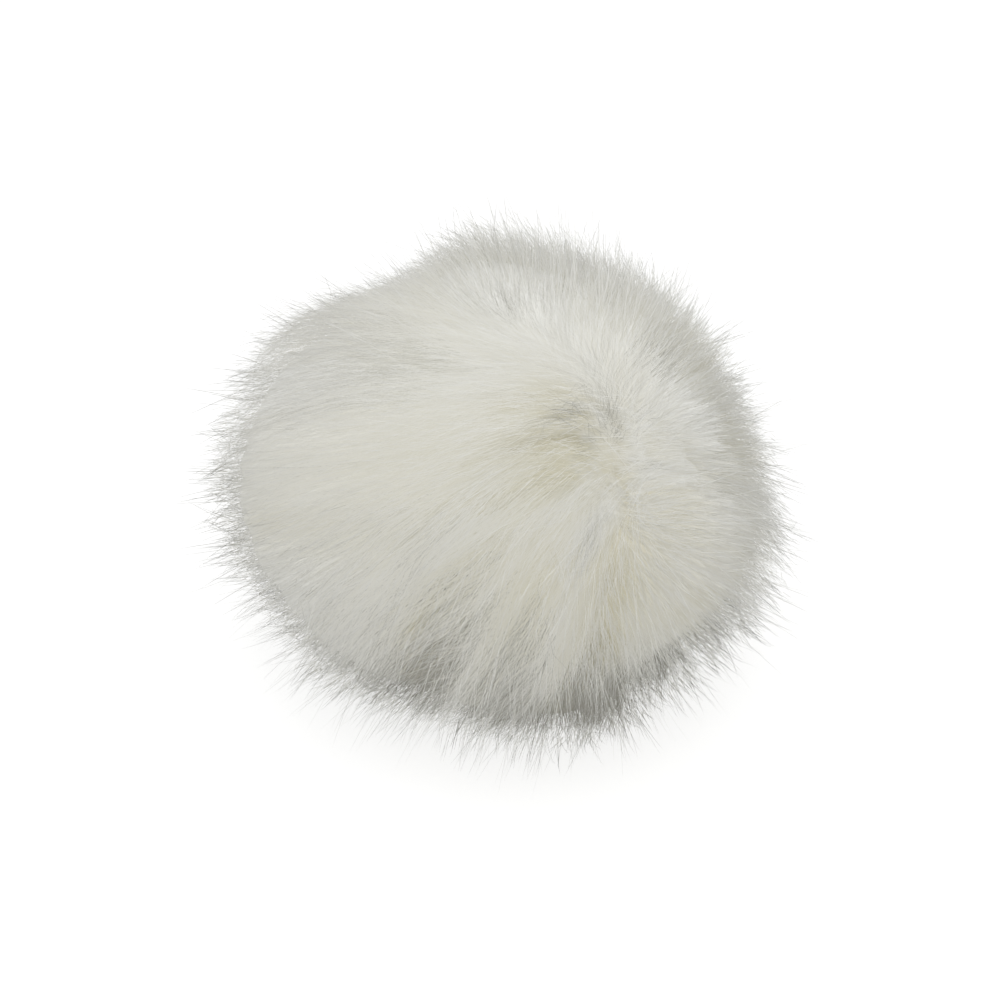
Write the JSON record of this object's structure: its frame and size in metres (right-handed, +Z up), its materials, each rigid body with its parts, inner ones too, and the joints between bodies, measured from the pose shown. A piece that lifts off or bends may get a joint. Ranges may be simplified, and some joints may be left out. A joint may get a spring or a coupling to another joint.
{
  "type": "faux fur pom pom",
  "caption": "Large round ivory faux fur pom pom with long combed pile, lying on its small pressed flat spot.",
  "frame": {"origin": "middle of the pressed flat spot that the ball rests on", "axes": "+Z up, away from the surface it lies on; +X across the widest pile, so that the side with the crown of the pile faces +X and -Y"},
  "size_m": [0.1329, 0.1237, 0.11],
  "materials": {
    "ivory_fur": "long soft pile"
  },
  "bodies": {
    "root": {"fur_ball": "ivory_fur"}
  },
  "joints": []
}
